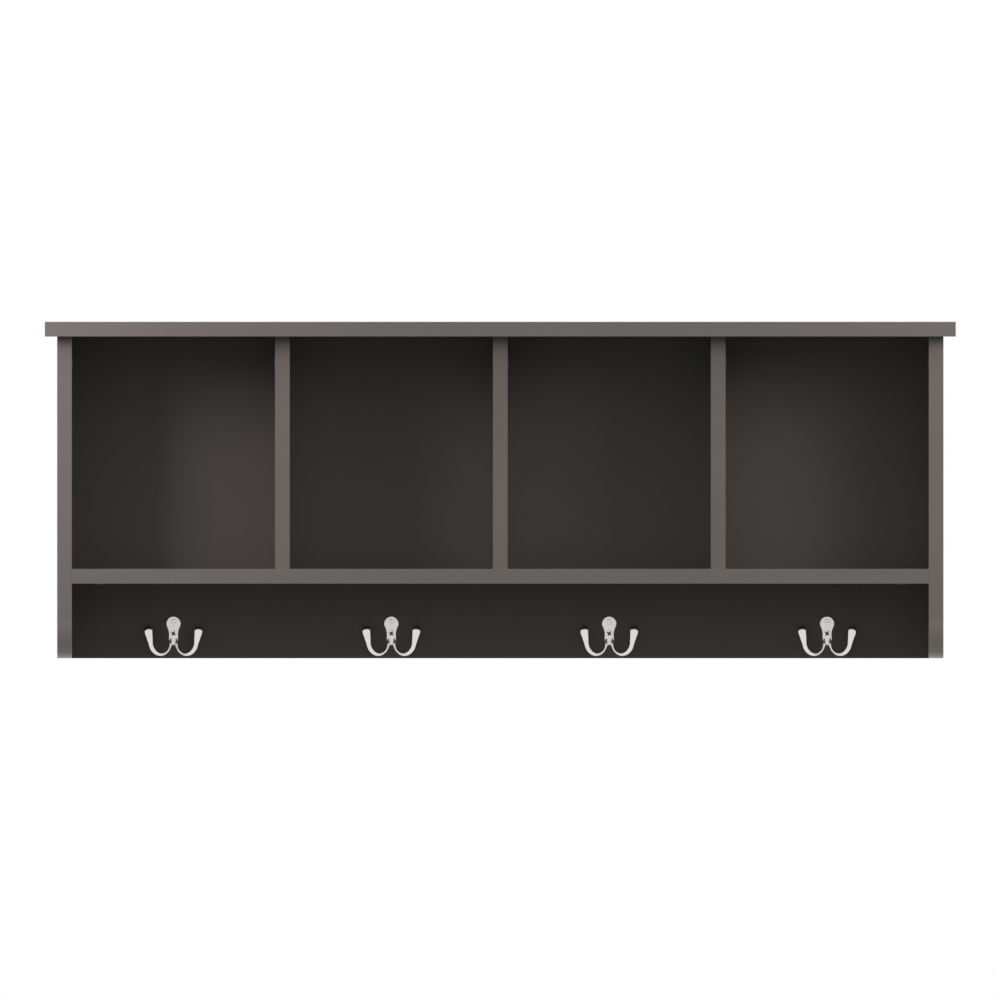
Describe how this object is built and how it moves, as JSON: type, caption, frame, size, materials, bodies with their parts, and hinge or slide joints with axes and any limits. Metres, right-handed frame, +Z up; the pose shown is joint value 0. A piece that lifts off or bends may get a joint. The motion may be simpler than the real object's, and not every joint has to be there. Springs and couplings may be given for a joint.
{
  "type": "wall-hung cubby shelf with coat hooks",
  "caption": "Wide grey wall shelf: an overhanging top over a row of open cubbies, with double coat hooks on a rail under the cubby floor, hung on a hidden rail.",
  "frame": {"origin": "middle of the wall rail's screw line, on the wall plane", "axes": "+X to the viewer's right along the wall, -Y out of the wall towards the viewer, +Z up"},
  "size_m": [1.2192, 0.2921, 0.4503],
  "materials": {
    "laminate": "satin grey laminate on particle board",
    "edge_band": "satin grey edge band",
    "back_sheet": "hardboard, grey in front and brown behind",
    "batten": "planed pine",
    "nickel": "satin nickel plated zinc casting",
    "nickel_screw": "satin nickel plated steel",
    "rail_steel": "zinc plated sheet steel",
    "zinc_steel": "zinc plated",
    "cam_zinc": "die-cast zinc",
    "cap_plastic": "grey moulded cap",
    "dowel_wood": "raw fluted beech"
  },
  "bodies": {
    "wall_rail": {"wall_rail": "rail_steel"},
    "cabinet": {"back_nails": "zinc_steel", "back_panel": "back_sheet", "cam_bolts": "zinc_steel", "cam_caps": "cap_plastic", "cam_locks": "cam_zinc", "centre_divider": "laminate", "cubby_floor": "laminate", "cubby_floor_edge_band": "edge_band", "divider_edge_bands": "edge_band", "dowels": "dowel_wood", "floor_screws": "zinc_steel", "hanging_strip": "batten", "hook_inner_left": "nickel", "hook_inner_right": "nickel", "hook_outer_left": "nickel", "hook_outer_right": "nickel", "hook_rail": "laminate", "hook_rail_edge_band": "edge_band", "hook_screws": "nickel_screw", "left_divider": "laminate", "left_side_edge_band": "edge_band", "left_side_panel": "laminate", "rail_screws": "zinc_steel", "right_divider": "laminate", "right_side_edge_band": "edge_band", "right_side_panel": "laminate", "strip_screws": "zinc_steel", "top_edge_band": "edge_band", "top_panel": "laminate", "unit_rail": "rail_steel", "unit_rail_screws": "zinc_steel"}
  },
  "joints": [
    {"name": "lift_off", "type": "slide", "parent": "wall_rail", "child": "cabinet", "axis": [0, 0, 1], "range_m": [0, 0.014]}
  ]
}
